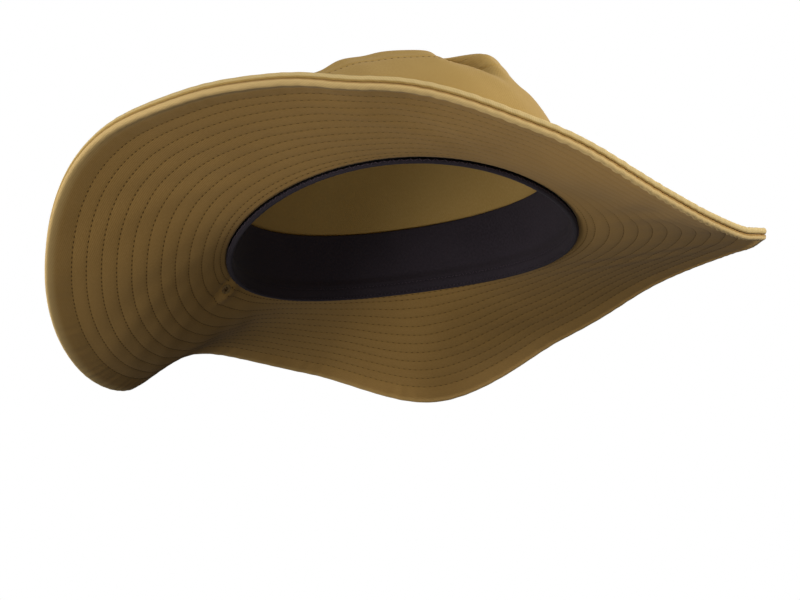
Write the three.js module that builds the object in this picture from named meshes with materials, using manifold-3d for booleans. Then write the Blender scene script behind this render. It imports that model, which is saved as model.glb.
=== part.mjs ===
// Wide-brim sun hat sewn from cotton twill: a two-ply stitched brim, a low soft crown of a side band and
// a top panel, a dark sweatband inside the head opening and one small metal eyelet in the brim.
//
// Frame: millimetres, +Z up through the crown, front of the hat at -Y, wearer's left at +X.
// Origin: the middle of the head opening, at the seam that joins brim, crown and sweatband.
// Azimuth: degrees around the opening from the front, positive towards the wearer's left.

import * as THREE from 'three';
import { mergeVertices } from 'three/addons/utils/BufferGeometryUtils.js';
import Module from 'manifold-3d';

const wasm = await Module();
wasm.setup();

// ---- driving dimensions, mm ----

// Head opening: an oval of about 587 mm round, dipping at the sides as it does on a head.
const OPENING_HALF_WIDTH = 84;
const OPENING_HALF_LENGTH = 102;
const OPENING_SADDLE = 5;

const BRIM_WIDTH = 85;
const PLY_THICKNESS = 1.3;
const SEAM_GAP = 0.3;

// The two plies are bagged out at the edge: each swells to a soft roll, as wide and as high as this.
const EDGE_ROLL_WIDTH = 4.8;
const EDGE_ROLL = 3;

const CROWN_THICKNESS = 1.3;
const CROWN_LIFT = 1.9;
// Half of the top seam's gap, as a share of the sections beside it: about 0.2 mm of cloth.
const TOP_SEAM_SHARE = 0.03;
const CROWN_LEAN_SIDE = 0.05;
const CROWN_LEAN_BACK = 0.07;

// The sweatband's tape is turned up along its lower edge: a thick hem that thins to the single tape.
const SWEATBAND_THICKNESS = 1.2;
const SWEATBAND_HEM = 2.8;
const SWEATBAND_BOTTOM = -5.4;
const SWEATBAND_HEM_TOP = 1;
const SWEATBAND_THIN_FROM = 6;
const SWEATBAND_TOP = 28;

const EYELET_AZIMUTH = -97;
const EYELET_REACH = 6;
const EYELET_HOLE_RADIUS = 1.2;
const EYELET_BARREL_RADIUS = 1.7;
const EYELET_FLANGE_RADIUS = 2.6;
const EYELET_FLANGE_THICKNESS = 0.6;
const EYELET_CUT_RADIUS = 2;

const COLUMNS = 72;

// Slope of the brim, degrees above level, at the head opening and at the outer edge. One row for each
// sixteenth of the way round, from the back of the hat and on over the wearer's right to the front.
const BRIM_SLOPES = [
  { azimuth: -180, inner: -30, outer: -30 },
  { azimuth: -157.5, inner: -12, outer: -12 },
  { azimuth: -135, inner: -8, outer: 0 },
  { azimuth: -112.5, inner: -32, outer: -15 },
  { azimuth: -90, inner: -42, outer: -4 },
  { azimuth: -67.5, inner: -29, outer: 9 },
  { azimuth: -45, inner: 2, outer: 18 },
  { azimuth: -22.5, inner: 7, outer: 11 },
  { azimuth: 0, inner: -2, outer: 5 },
  { azimuth: 22.5, inner: -12, outer: -13 },
  { azimuth: 45, inner: -26, outer: -25 },
  { azimuth: 67.5, inner: -23, outer: -25 },
  { azimuth: 90, inner: -12, outer: -10 },
  { azimuth: 112.5, inner: -4, outer: -3 },
  { azimuth: 135, inner: -1, outer: 1 },
  { azimuth: 157.5, inner: -11, outer: -12 },
];

// Oval sections of the crown from its base, over the shoulder and the top seam, to the middle of the tip.
const CROWN_SECTIONS = [
  { place: 'base', rise: 0, halfWidth: 83.6, halfLength: 101.6 },
  { place: 'above the sweatband', rise: 28, halfWidth: 80, halfLength: 97 },
  { place: 'middle', rise: 44, halfWidth: 75, halfLength: 90 },
  { place: 'upper', rise: 56, halfWidth: 67.5, halfLength: 82 },
  { place: 'shoulder', rise: 63, halfWidth: 62, halfLength: 75.5 },
  { place: 'top seam', rise: 67, halfWidth: 59, halfLength: 71.5 },
  { place: 'tip edge', rise: 69, halfWidth: 52, halfLength: 62 },
  { place: 'tip middle', rise: 73, halfWidth: 28, halfLength: 33 },
  { place: 'tip centre', rise: 74, halfWidth: 0, halfLength: 0 },
];
const TOP_SEAM = CROWN_SECTIONS.findIndex((row) => row.place === 'top seam');
const TIP_CENTRE = CROWN_SECTIONS.length - 1;

// Places where the edge hangs below its arc or is lifted above it: middle, spread in degrees, and drop.
const EDGE_DIPS = [
  { name: 'right of the front', azimuth: -18, spread: 8, drop: -0.7 },
  { name: 'front', azimuth: 0, spread: 6, drop: 1.4 },
  { name: 'left of the front', azimuth: 27, spread: 9, drop: 0.95 },
  { name: 'before the left point', azimuth: 57, spread: 9, drop: 0.85 },
];

// Dents in the soft crown: where each is deepest, how far it spreads towards smaller and larger azimuths
// and across them, and how far it pushes the cloth in towards the crown's axis and down.
const CROWN_DENTS = [
  { name: 'pinch', azimuth: 48, section: 4.8, before: 15, after: 8, height: 12, inward: 12, drop: 0 },
  { name: 'notch', azimuth: 35, section: 5, before: 8, after: 9, height: 9, inward: 2, drop: 2.4 },
  { name: 'bulge behind', azimuth: 66, section: 6, before: 14, after: 14, height: 14, inward: 0, drop: -2 },
  { name: 'right shoulder', azimuth: -24, section: 5, before: 10, after: 8, height: 9, inward: 0, drop: 1.3 },
  { name: 'front crest', azimuth: 17, section: 5, before: 7, after: 9, height: 9, inward: 0, drop: 0.8 },
  { name: 'side hollow', azimuth: 80, section: 3.1, before: 16, after: 24, height: 12, inward: 3, drop: 0 },
];

const KHAKI = '#af9259';
const KHAKI_SHADE = '#7d6238';
const CHARCOAL = '#2b2426';
const BRASS_DARK = '#4a4034';

// ---- curves shared by the pieces ----

const rad = THREE.MathUtils.degToRad;

/** Catmull-Rom value between b and c, at share 0 to 1. */
function blend(a, b, c, d, share) {
  const linear = (c - a) * share;
  const square = (2 * a - 5 * b + 4 * c - d) * share ** 2;
  const cube = (3 * b - a - 3 * c + d) * share ** 3;
  return b + 0.5 * (linear + square + cube);
}

/** Slope of the brim in radians, from the named column of BRIM_SLOPES, which closes on itself. */
function slopeAt(azimuth, column) {
  const count = BRIM_SLOPES.length;
  const place = ((azimuth + 540) % 360) / (360 / count);
  const row = Math.floor(place);
  const value = (step) => BRIM_SLOPES[(row + step + count) % count][column];
  return rad(blend(value(-1), value(0), value(1), value(2), place - row));
}

/** Seam line of the head opening, with the direction that leads straight out from it. */
function openingAt(azimuth) {
  const sin = Math.sin(rad(azimuth));
  const cos = Math.cos(rad(azimuth));
  const saddle = OPENING_SADDLE * Math.cos(2 * rad(azimuth));
  const point = new THREE.Vector3(OPENING_HALF_WIDTH * sin, -OPENING_HALF_LENGTH * cos, saddle);
  const out = new THREE.Vector3(sin / OPENING_HALF_WIDTH, -cos / OPENING_HALF_LENGTH, 0).normalize();
  return { point, out };
}

/** Middle surface of the brim: each radial line is an arc that turns from the inner to the outer slope. */
function brimSurface(azimuth, reach) {
  const { point, out } = openingAt(azimuth);
  const inner = slopeAt(azimuth, 'inner');
  const outer = slopeAt(azimuth, 'outer');
  const halfTurn = ((outer - inner) * reach) / BRIM_WIDTH / 2;
  const chord = Math.abs(halfTurn) < 1e-6 ? reach : (reach * Math.sin(halfTurn)) / halfTurn;
  const heading = inner + halfTurn;
  point.addScaledVector(out, chord * Math.cos(heading));
  point.z += chord * Math.sin(heading) - edgeDip(azimuth) * (reach / BRIM_WIDTH) ** 2;
  return point;
}

/** How far the edge hangs below its arc at an azimuth. */
function edgeDip(azimuth) {
  let drop = 0;
  for (const dip of EDGE_DIPS) {
    const away = ((azimuth - dip.azimuth + 540) % 360) - 180;
    drop += dip.drop * Math.exp(-((away / dip.spread) ** 2));
  }
  return drop;
}

/** Oval of the crown at a fractional row of CROWN_SECTIONS. */
function crownSection(place) {
  const row = THREE.MathUtils.clamp(Math.floor(place), 0, TIP_CENTRE - 1);
  const at = (step, column) => {
    const index = row + step;
    if (index < 0) return belowBase(column);
    if (index > TIP_CENTRE) return beyondCentre(column);
    return CROWN_SECTIONS[index][column];
  };
  const value = (column) => blend(at(-1, column), at(0, column), at(1, column), at(2, column), place - row);
  return { rise: value('rise'), halfWidth: value('halfWidth'), halfLength: value('halfLength') };
}

/** The base oval carried straight down, for the sweatband's lower edge. */
function belowBase(column) {
  const base = CROWN_SECTIONS[0];
  return column === 'rise' ? base.rise - CROWN_SECTIONS[1].rise : base[column];
}

/** The last section but one carried over the tip's centre to the far side, so that the tip is smooth. */
function beyondCentre(column) {
  const section = CROWN_SECTIONS[TIP_CENTRE - 1];
  return column === 'rise' ? section.rise : -section[column];
}

/** Fractional row of CROWN_SECTIONS that lies at a rise, found by halving; it runs on below the base. */
function placeAtRise(rise) {
  let low = -1;
  let high = TOP_SEAM;
  for (let step = 0; step < 40; step += 1) {
    const middle = (low + high) / 2;
    if (crownSection(middle).rise < rise) low = middle;
    else high = middle;
  }
  return low;
}

/** Crown before it was dented: ovals that take up the opening's saddle at the base and lean at the top. */
function smoothCrown(azimuth, place) {
  const { rise, halfWidth, halfLength } = crownSection(place);
  const x = halfWidth * Math.sin(rad(azimuth));
  const y = -halfLength * Math.cos(rad(azimuth));
  const share = THREE.MathUtils.clamp(rise / CROWN_SECTIONS[TOP_SEAM].rise, 0, 1);
  const saddle = OPENING_SADDLE * Math.cos(2 * rad(azimuth)) * (1 - share);
  const lean = (CROWN_LEAN_SIDE * x + CROWN_LEAN_BACK * y) * share;
  return new THREE.Vector3(x, y, CROWN_LIFT + rise + saddle + lean);
}

/** Middle surface of the crown with its dents. */
function crownSurface(azimuth, place) {
  const point = smoothCrown(azimuth, place);
  const push = new THREE.Vector3();
  for (const dent of CROWN_DENTS) {
    const away = point.clone().sub(smoothCrown(dent.azimuth, dent.section));
    const { out } = openingAt(dent.azimuth);
    const across = away.y * out.x - away.x * out.y;
    const spread = across < 0 ? dent.before : dent.after;
    const beyond = away.lengthSq() - across ** 2;
    const share = Math.exp(-((across / spread) ** 2) - beyond / dent.height ** 2);
    push.addScaledVector(out, -dent.inward * share);
    push.z -= dent.drop * share;
  }
  return point.add(push);
}

/** Point at a distance from a surface, along the normal that the azimuth and the other parameter span. */
function offsetFrom(surface, azimuth, along, lift) {
  const step = 0.02;
  const across = surface(azimuth + step, along).sub(surface(azimuth - step, along));
  const onward = surface(azimuth, along + step).sub(surface(azimuth, along - step));
  return surface(azimuth, along).addScaledVector(across.cross(onward).normalize(), lift);
}

/** Brim point at a reach from the opening and a lift above the middle surface. */
function brimPoint(azimuth, reach, lift) {
  return offsetFrom(brimSurface, azimuth, reach, -lift);
}

/** Crown point at a fractional section and a lift out of the middle surface. */
function crownPoint(azimuth, place, lift) {
  return offsetFrom(crownSurface, azimuth, place, lift);
}

// ---- solids ----

/**
 * Closed solid from a section repeated around the hat. The section is a list of functions of the azimuth.
 * It closes on itself, or runs from a pole under the cloth to a pole on top of it where poles is true.
 * A section that is the mirror image of another keeps its order and is turned right side out instead, so
 * that two cloths that lie together are folded into the same facets.
 */
function solidAround(section, { poles = false, mirrorImage = false } = {}) {
  const positions = [];
  const indices = [];
  const ring = (row) => Array.from({ length: COLUMNS }, (_, column) => row * COLUMNS + column);
  const rows = poles ? section.slice(1, -1) : section;
  for (const pointAt of rows) {
    for (let column = 0; column < COLUMNS; column += 1) {
      positions.push(...pointAt((360 / COLUMNS) * column).toArray());
    }
  }
  const last = poles ? rows.length - 1 : rows.length;
  for (let row = 0; row < last; row += 1) {
    const near = ring(row);
    const far = ring((row + 1) % rows.length);
    for (let column = 0; column < COLUMNS; column += 1) {
      const next = (column + 1) % COLUMNS;
      indices.push(near[column], near[next], far[next]);
      indices.push(near[column], far[next], far[column]);
    }
  }
  if (poles) {
    const under = positions.length / 3;
    positions.push(...section[0](0).toArray(), ...section.at(-1)(0).toArray());
    const first = ring(0);
    const final = ring(rows.length - 1);
    for (let column = 0; column < COLUMNS; column += 1) {
      const next = (column + 1) % COLUMNS;
      indices.push(under, first[next], first[column]);
      indices.push(under + 1, final[column], final[next]);
    }
  }
  const geometry = new THREE.BufferGeometry();
  geometry.setAttribute('position', new THREE.Float32BufferAttribute(positions, 3));
  geometry.setIndex(mirrorImage ? indices.reverse() : indices);
  return geometry;
}

/** Lines around the crown at some of its sections, all at one lift. */
function crownLines(places, lift) {
  return places.map((place) => (azimuth) => crownPoint(azimuth, place, lift));
}

/** One ply of the brim: level cloth that swells to a soft roll at the edge. Side is 1 above, -1 below. */
function brimPly(side) {
  const near = SEAM_GAP / 2;
  const far = near + PLY_THICKNESS;
  const nose = EDGE_ROLL / 2;
  const rollStart = BRIM_WIDTH - EDGE_ROLL_WIDTH;
  const flat = [0, 15, 31, 47, 63];
  const section = flat.map((reach) => [reach, near]);
  section.push([rollStart, near], [BRIM_WIDTH - nose, near]);
  for (const turn of [-45, 0, 45]) {
    const out = BRIM_WIDTH - nose + nose * Math.cos(rad(turn));
    section.push([out, near + nose + nose * Math.sin(rad(turn))]);
  }
  section.push([BRIM_WIDTH - nose, near + EDGE_ROLL]);
  section.push([BRIM_WIDTH - 0.58 * EDGE_ROLL_WIDTH, near + EDGE_ROLL * 0.95]);
  section.push([BRIM_WIDTH - 0.83 * EDGE_ROLL_WIDTH, near + EDGE_ROLL * 0.75]);
  section.push([rollStart, far]);
  section.push(...flat.reverse().map((reach) => [reach, far]));
  const lines = section.map(([reach, lift]) => (azimuth) => brimPoint(azimuth, reach, side * lift));
  return solidAround(lines, { mirrorImage: side < 0 });
}

/** Band and tip are cut from the same surface, with a fine gap at the top seam. */
function crownBand() {
  const half = CROWN_THICKNESS / 2;
  const places = [0, 0.5, 1, 1.5, 2, 2.5, 3, 3.5, 4, 4.5, TOP_SEAM - TOP_SEAM_SHARE];
  return solidAround([...crownLines(places, half), ...crownLines(places, -half).reverse()]);
}

function crownTip() {
  const half = CROWN_THICKNESS / 2;
  const places = [7.4, 6.7, 6.2, 5.6, TOP_SEAM + TOP_SEAM_SHARE];
  const pole = (lift) => () => crownSurface(0, TIP_CENTRE).add(new THREE.Vector3(0, 0, lift));
  const under = crownLines(places, -half);
  const over = crownLines(places, half).reverse();
  return solidAround([pole(-half), ...under, ...over, pole(half)], { poles: true });
}

/** Line around the sweatband at a rise, at a depth inside the crown's middle surface. */
function tapeLine(rise, depth) {
  const place = placeAtRise(rise);
  return (azimuth) => crownPoint(azimuth, place, -depth);
}

/** Sweatband: a strip inside the base of the crown whose thick lower edge just shows under the seam. */
function sweatband() {
  const back = CROWN_THICKNESS / 2 + 2 * SEAM_GAP;
  const face = back + SWEATBAND_THICKNESS;
  const hem = back + SWEATBAND_HEM;
  return solidAround([
    tapeLine(SWEATBAND_BOTTOM, back),
    tapeLine(0, back),
    tapeLine(SWEATBAND_TOP, back),
    tapeLine(SWEATBAND_TOP, face),
    tapeLine(SWEATBAND_THIN_FROM, face),
    tapeLine(SWEATBAND_HEM_TOP, hem),
    tapeLine(SWEATBAND_BOTTOM, hem),
  ]);
}

/** Turn and place a part made on the Z axis so that it stands square through the brim at the eyelet. */
function eyeletMatrix() {
  const centre = brimSurface(EYELET_AZIMUTH, EYELET_REACH);
  const up = brimPoint(EYELET_AZIMUTH, EYELET_REACH, 1).sub(centre).normalize();
  const turn = new THREE.Quaternion().setFromUnitVectors(new THREE.Vector3(0, 0, 1), up);
  return new THREE.Matrix4().compose(centre, turn, new THREE.Vector3(1, 1, 1));
}

/** Lathe of a closed [radius, height] outline about the Z axis, moved to the eyelet. */
function lathedAtEyelet(outline, sides) {
  const profile = outline.map(([radius, height]) => new THREE.Vector2(radius, height));
  const turned = new THREE.LatheGeometry(profile, sides);
  turned.rotateX(Math.PI / 2);
  return turned.applyMatrix4(eyeletMatrix());
}

/** Eyelet: a barrel through both plies with a rolled flange on each face of the brim. */
function eyelet() {
  const seat = PLY_THICKNESS + 2 * SEAM_GAP;
  const crest = seat + EYELET_FLANGE_THICKNESS;
  const roll = EYELET_FLANGE_THICKNESS / 3;
  const upper = [
    [EYELET_BARREL_RADIUS, seat],
    [EYELET_FLANGE_RADIUS, seat],
    [EYELET_FLANGE_RADIUS, seat + roll],
    [EYELET_FLANGE_RADIUS - roll * 2, crest],
    [EYELET_HOLE_RADIUS + roll * 2, crest],
    [EYELET_HOLE_RADIUS, seat + roll],
  ];
  const lower = upper.map(([radius, height]) => [radius, -height]).reverse();
  return lathedAtEyelet([...lower, ...upper, lower[0]], 20);
}

/** Ply with the eyelet's hole punched through it. */
function punched(ply) {
  const reach = 6;
  const bar = [[0, -reach], [EYELET_CUT_RADIUS, -reach], [EYELET_CUT_RADIUS, reach], [0, reach]];
  return solidFrom(asManifold(ply).subtract(asManifold(lathedAtEyelet(bar, 20))));
}

function asManifold(geometry) {
  const bare = geometry.clone();
  bare.deleteAttribute('normal');
  bare.deleteAttribute('uv');
  const merged = mergeVertices(bare, 1e-4);
  const vertProperties = new Float32Array(merged.attributes.position.array);
  const triVerts = new Uint32Array(merged.index.array);
  return new wasm.Manifold(new wasm.Mesh({ numProp: 3, vertProperties, triVerts }));
}

function solidFrom(manifold) {
  const mesh = manifold.getMesh();
  const geometry = new THREE.BufferGeometry();
  geometry.setAttribute('position', new THREE.BufferAttribute(mesh.vertProperties, 3));
  geometry.setIndex(new THREE.BufferAttribute(mesh.triVerts, 1));
  return geometry;
}

// ---- the hat ----

const hat = new THREE.Group();

function addPiece(name, geometry, color, roughness, metalness) {
  geometry.computeVertexNormals();
  const piece = new THREE.Mesh(geometry, new THREE.MeshStandardMaterial({ color, roughness, metalness }));
  piece.name = name;
  hat.add(piece);
}

addPiece('brim_upper', punched(brimPly(1)), KHAKI, 0.9, 0);
addPiece('brim_under', punched(brimPly(-1)), KHAKI_SHADE, 0.9, 0);
addPiece('crown_band', crownBand(), KHAKI, 0.9, 0);
addPiece('crown_tip', crownTip(), KHAKI, 0.9, 0);
addPiece('sweatband', sweatband(), CHARCOAL, 0.85, 0);
addPiece('side_eyelet', eyelet(), BRASS_DARK, 0.45, 0.9);

export default hat;
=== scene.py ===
"""Wide-brim sun hat of cotton twill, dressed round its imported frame.

The soft brim hangs in waves from the head opening, as it does on a wearer's head. Sizes are in
millimetres, as for the maker who cuts the cloth, and become metres where a mesh is made. Azimuth is in
degrees around the opening, 0 at the front and positive towards the wearer's left. Reach runs along the
brim from the opening, place runs up the crown from section to section, and lift is measured out of the
middle of the cloth.
"""

import logging
import math
from collections.abc import Callable, Sequence
from dataclasses import dataclass
from enum import Enum

import bmesh
import bpy
import numpy as np
from mathutils import Matrix, Vector


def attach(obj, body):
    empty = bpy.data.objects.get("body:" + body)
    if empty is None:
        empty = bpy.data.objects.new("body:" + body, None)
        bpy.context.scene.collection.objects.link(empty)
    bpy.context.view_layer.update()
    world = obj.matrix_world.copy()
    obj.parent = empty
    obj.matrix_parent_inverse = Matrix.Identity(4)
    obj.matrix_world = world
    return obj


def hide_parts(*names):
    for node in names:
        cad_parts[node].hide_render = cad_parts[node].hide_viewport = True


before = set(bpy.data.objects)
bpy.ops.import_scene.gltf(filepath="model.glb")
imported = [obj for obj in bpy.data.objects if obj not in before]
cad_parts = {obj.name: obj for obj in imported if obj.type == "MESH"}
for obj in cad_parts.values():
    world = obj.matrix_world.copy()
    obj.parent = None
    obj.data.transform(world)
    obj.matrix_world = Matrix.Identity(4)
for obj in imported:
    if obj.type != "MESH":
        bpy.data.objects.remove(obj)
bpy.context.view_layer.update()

MM = 0.001
BODY = "root"
Array = np.ndarray
UP = np.array([0.0, 0.0, 1.0])

log = logging.getLogger("sun_hat")


class Face(Enum):
    """A side of the brim: the ply that lies above the seam, or the one below it."""

    UPPER = 1
    UNDER = -1


# ---- the shape in which the hat hangs ----


@dataclass(frozen=True)
class BrimSlope:
    """Slope of the brim at one azimuth, in degrees above level, at the opening and at the outer edge."""

    azimuth: float
    inner: float
    outer: float


@dataclass(frozen=True)
class CrownOval:
    """One level section of the crown, in millimetres."""

    place: str
    rise: float
    half_width: float
    half_length: float


@dataclass(frozen=True)
class EdgeDip:
    """A small dip of the brim's edge between two slopes; a negative drop is a rise."""

    name: str
    azimuth: float
    spread: float
    drop: float


@dataclass(frozen=True)
class RollHold:
    """How the brim's rolled edge is held down at one azimuth.

    firmness runs from 0, an edge that only swells, to 1, a bead like a cord's. scallop is the share of
    the scallops' full depth, and the column after it is how pale the edge is painted, partly as wear and
    partly as painted light on the roll. buried is how deep the rows' stitches lie in the cloth, in
    millimetres.
    """

    azimuth: float
    firmness: float
    scallop: float
    wear_and_painted_light: float
    buried: float


@dataclass(frozen=True)
class Dent:
    """A dent in the soft crown: its middle, its spreads, and how far it pushes the cloth in and down.

    before and after are its spreads towards smaller and larger azimuths, so that one side can be a
    steep fold and the other a gentle hollow.
    """

    name: str
    azimuth: float
    section: float
    before: float
    after: float
    height: float
    inward: float
    drop: float


BRIM_SLOPES = (
    BrimSlope(azimuth=-180, inner=-30, outer=-30),
    BrimSlope(azimuth=-157.5, inner=-12, outer=-12),
    BrimSlope(azimuth=-135, inner=-8, outer=0),
    BrimSlope(azimuth=-112.5, inner=-32, outer=-15),
    BrimSlope(azimuth=-90, inner=-42, outer=-4),
    BrimSlope(azimuth=-67.5, inner=-29, outer=9),
    BrimSlope(azimuth=-45, inner=2, outer=18),
    BrimSlope(azimuth=-22.5, inner=7, outer=11),
    BrimSlope(azimuth=0, inner=-2, outer=5),
    BrimSlope(azimuth=22.5, inner=-12, outer=-13),
    BrimSlope(azimuth=45, inner=-26, outer=-25),
    BrimSlope(azimuth=67.5, inner=-23, outer=-25),
    BrimSlope(azimuth=90, inner=-12, outer=-10),
    BrimSlope(azimuth=112.5, inner=-4, outer=-3),
    BrimSlope(azimuth=135, inner=-1, outer=1),
    BrimSlope(azimuth=157.5, inner=-11, outer=-12),
)

CROWN_OVALS = (
    CrownOval("base", rise=0, half_width=83.6, half_length=101.6),
    CrownOval("above the sweatband", rise=28, half_width=80, half_length=97),
    CrownOval("middle", rise=44, half_width=75, half_length=90),
    CrownOval("upper", rise=56, half_width=67.5, half_length=82),
    CrownOval("shoulder", rise=63, half_width=62, half_length=75.5),
    CrownOval("top seam", rise=67, half_width=59, half_length=71.5),
    CrownOval("tip edge", rise=69, half_width=52, half_length=62),
    CrownOval("tip middle", rise=73, half_width=28, half_length=33),
    CrownOval("tip centre", rise=74, half_width=0, half_length=0),
)
TOP_SEAM = 5
TIP_CENTRE = 8

EDGE_DIPS = (
    EdgeDip("right of the front", azimuth=-18, spread=8, drop=-0.7),
    EdgeDip("front", azimuth=-0.7, spread=4.8, drop=1.6),
    EdgeDip("left of the front", azimuth=27, spread=9, drop=0.95),
    EdgeDip("before the left point", azimuth=57, spread=9, drop=0.85),
    EdgeDip("left point", azimuth=84, spread=9, drop=1.0),
    EdgeDip("behind the left point", azimuth=116, spread=11, drop=-1.8),
)

ROLL_HOLDS = (
    RollHold(azimuth=-180, firmness=0.1, scallop=0.0, wear_and_painted_light=0.3, buried=0.05),
    RollHold(azimuth=-140, firmness=0.0, scallop=0.0, wear_and_painted_light=0.7, buried=0.0),
    RollHold(azimuth=-100, firmness=0.0, scallop=0.0, wear_and_painted_light=1.0, buried=0.0),
    RollHold(azimuth=-50, firmness=0.0, scallop=0.0, wear_and_painted_light=0.8, buried=0.0),
    RollHold(azimuth=-12, firmness=0.15, scallop=0.1, wear_and_painted_light=0.9, buried=0.03),
    RollHold(azimuth=15, firmness=0.5, scallop=0.5, wear_and_painted_light=0.95, buried=0.08),
    RollHold(azimuth=35, firmness=0.95, scallop=0.9, wear_and_painted_light=1.0, buried=0.14),
    RollHold(azimuth=65, firmness=1.0, scallop=0.85, wear_and_painted_light=1.0, buried=0.14),
    RollHold(azimuth=82, firmness=1.0, scallop=0.35, wear_and_painted_light=1.0, buried=0.08),
    RollHold(azimuth=105, firmness=0.2, scallop=0.0, wear_and_painted_light=0.2, buried=0.0),
)

CROWN_DENTS = (
    Dent("pinch", azimuth=50, section=5, before=17, after=4, height=12, inward=18, drop=0),
    Dent("pocket", azimuth=51, section=4.2, before=7, after=4, height=8, inward=8, drop=2),
    Dent("notch", azimuth=35, section=5, before=8, after=9, height=9, inward=2, drop=2.2),
    Dent("bulge behind", azimuth=61, section=6, before=14, after=14, height=14, inward=0, drop=-2),
    Dent("right shoulder", azimuth=-24, section=5, before=10, after=8, height=9, inward=0, drop=1.3),
    Dent("front ripple", azimuth=-2, section=5, before=6, after=5, height=8, inward=0.3, drop=0.3),
    Dent("front crest", azimuth=17, section=5, before=7, after=9, height=9, inward=0, drop=0.8),
    Dent("side hollow", azimuth=80, section=3.1, before=16, after=24, height=12, inward=3, drop=0),
    Dent("side crease", azimuth=65, section=2.8, before=5, after=5, height=5, inward=1.5, drop=0),
)


def blend(before: Array, start: Array, end: Array, after: Array, share: Array) -> Array:
    """Catmull-Rom value between start and end.

    Args:
        before: value one step before start.
        start: value at share 0.
        end: value at share 1.
        after: value one step after end.
        share: how far along from start to end.

    Returns:
        The smooth value at share.
    """
    linear = (end - before) * share
    square = (2 * before - 5 * start + 4 * end - after) * share**2
    cube = (3 * start - before - 3 * end + after) * share**3
    return start + 0.5 * (linear + square + cube)


def smooth_step(value: Array, low: float, high: float) -> Array:
    """Rises smoothly from 0 at low to 1 at high, whichever of them is the larger."""
    share = np.clip((value - low) / (high - low), 0, 1)
    return share * share * (3 - 2 * share)


def bell(away: Array, width: float) -> Array:
    """1 in the middle, falling off smoothly on both sides; about a third is left at the width."""
    return np.exp(-((away / width) ** 2))


def from_nearest(values: Array, rows: Sequence[float]) -> Array:
    """Distance of each value from the nearest of some rows."""
    return np.abs(np.asarray(values, float)[..., None] - np.array(rows)).min(-1)


def waves(azimuth: Array, counts: Sequence[int], seed: int) -> Array:
    """A row of uneven ripples that closes round the hat.

    Args:
        azimuth: degrees around the opening.
        counts: how many times each of the ripples' sines goes round.
        seed: picks where each sine starts.

    Returns:
        Heights between about -1 and 1.
    """
    starts = np.random.default_rng(seed).uniform(0, 2 * math.pi, len(counts))
    turn = np.radians(azimuth)
    return sum(np.sin(count * turn + start) for count, start in zip(counts, starts)) / len(counts)


def offset_from(surface: Callable[[Array, Array], Array], azimuth: Array, along: Array, lift: Array) -> Array:
    """Points at a distance from a surface, along its normal.

    Args:
        surface: middle surface, from azimuth and a second parameter.
        azimuth: degrees around the opening.
        along: the second parameter.
        lift: distance out of the surface, in millimetres.

    Returns:
        One point for each azimuth.
    """
    step = 0.02
    across = surface(azimuth + step, along) - surface(azimuth - step, along)
    onward = surface(azimuth, along + step) - surface(azimuth, along - step)
    normal = np.cross(across, onward)
    normal /= np.maximum(np.linalg.norm(normal, axis=-1, keepdims=True), 1e-12)
    return surface(azimuth, along) + normal * np.asarray(lift)[..., None]


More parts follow.
